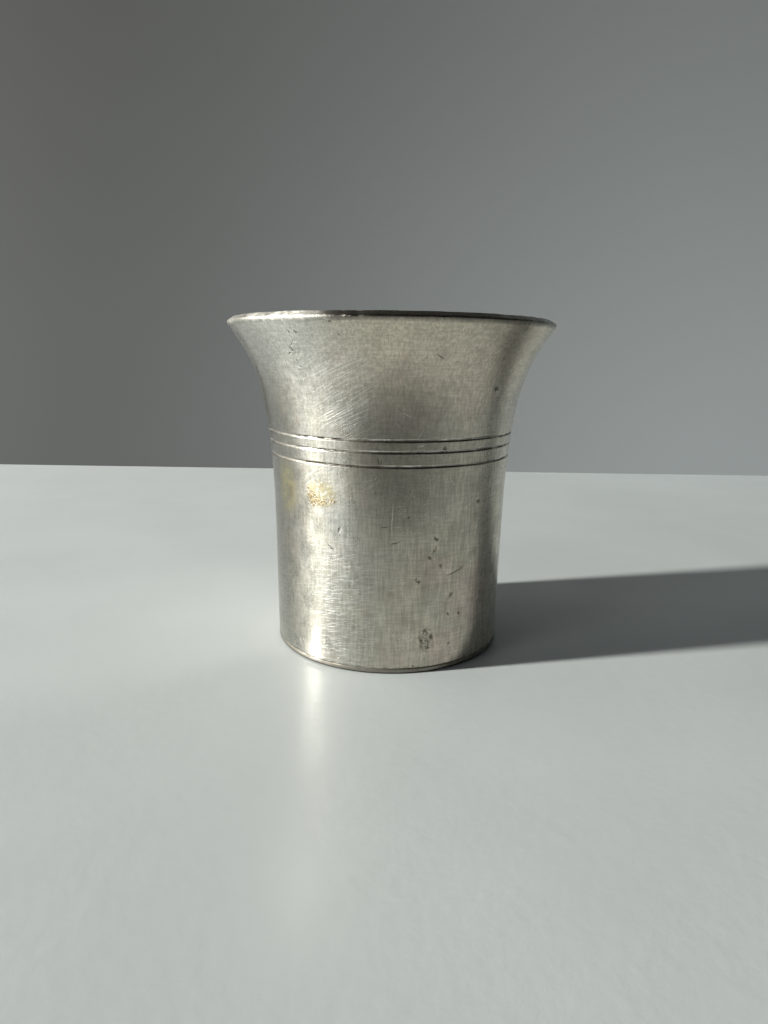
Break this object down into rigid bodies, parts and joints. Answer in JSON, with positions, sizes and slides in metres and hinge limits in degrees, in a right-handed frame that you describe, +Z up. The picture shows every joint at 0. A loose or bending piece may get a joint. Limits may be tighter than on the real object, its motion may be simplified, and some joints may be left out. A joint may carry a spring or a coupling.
{
  "type": "measuring cup",
  "caption": "Flared pewter measuring cup: a turned wall with a band of cut grooves, soldered onto a flat base disc, for measuring and pouring liquid or loose dry goods.",
  "frame": {"origin": "centre of the foot, on the surface that the cup stands on", "axes": "+Z up along the cup's axis, from the foot to the mouth; the cup is round, so +X and +Y have no front or side of their own"},
  "size_m": [0.0792, 0.0792, 0.08],
  "materials": {
    "satin_pewter": "satin, worn by hand polishing",
    "base_pewter": "satin, duller than the wall",
    "soft_solder": "dull"
  },
  "bodies": {
    "root": {"flared_wall": "satin_pewter", "base_disc": "base_pewter", "solder_fillet": "soft_solder"}
  },
  "joints": []
}
